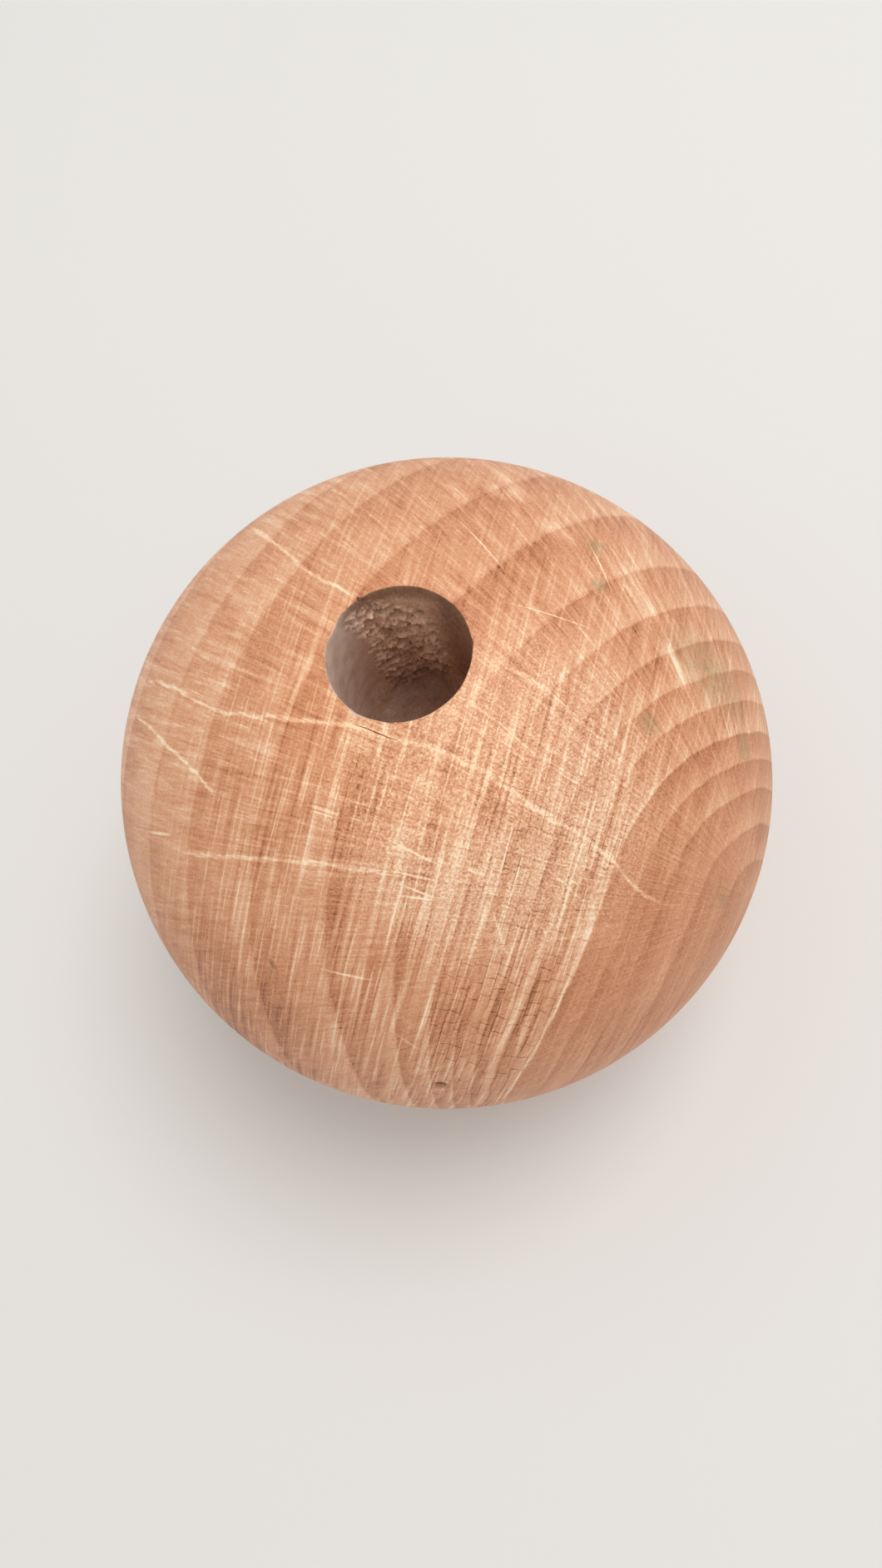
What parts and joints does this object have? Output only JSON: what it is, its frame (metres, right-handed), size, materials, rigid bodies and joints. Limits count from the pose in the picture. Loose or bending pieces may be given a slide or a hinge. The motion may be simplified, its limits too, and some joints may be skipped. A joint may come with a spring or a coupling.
{
  "type": "wooden ball",
  "caption": "Turned solid wooden ball with a blind drilled hole that takes a round peg, dowel or stub.",
  "frame": {"origin": "centre of the ball", "axes": "+Z along the hole's axis and out of its mouth; the ball is round about it"},
  "size_m": [0.08, 0.08, 0.0794],
  "materials": {
    "turned_wood": "bare sanded wood with fine scratches"
  },
  "bodies": {
    "root": {"ball": "turned_wood"}
  },
  "joints": []
}
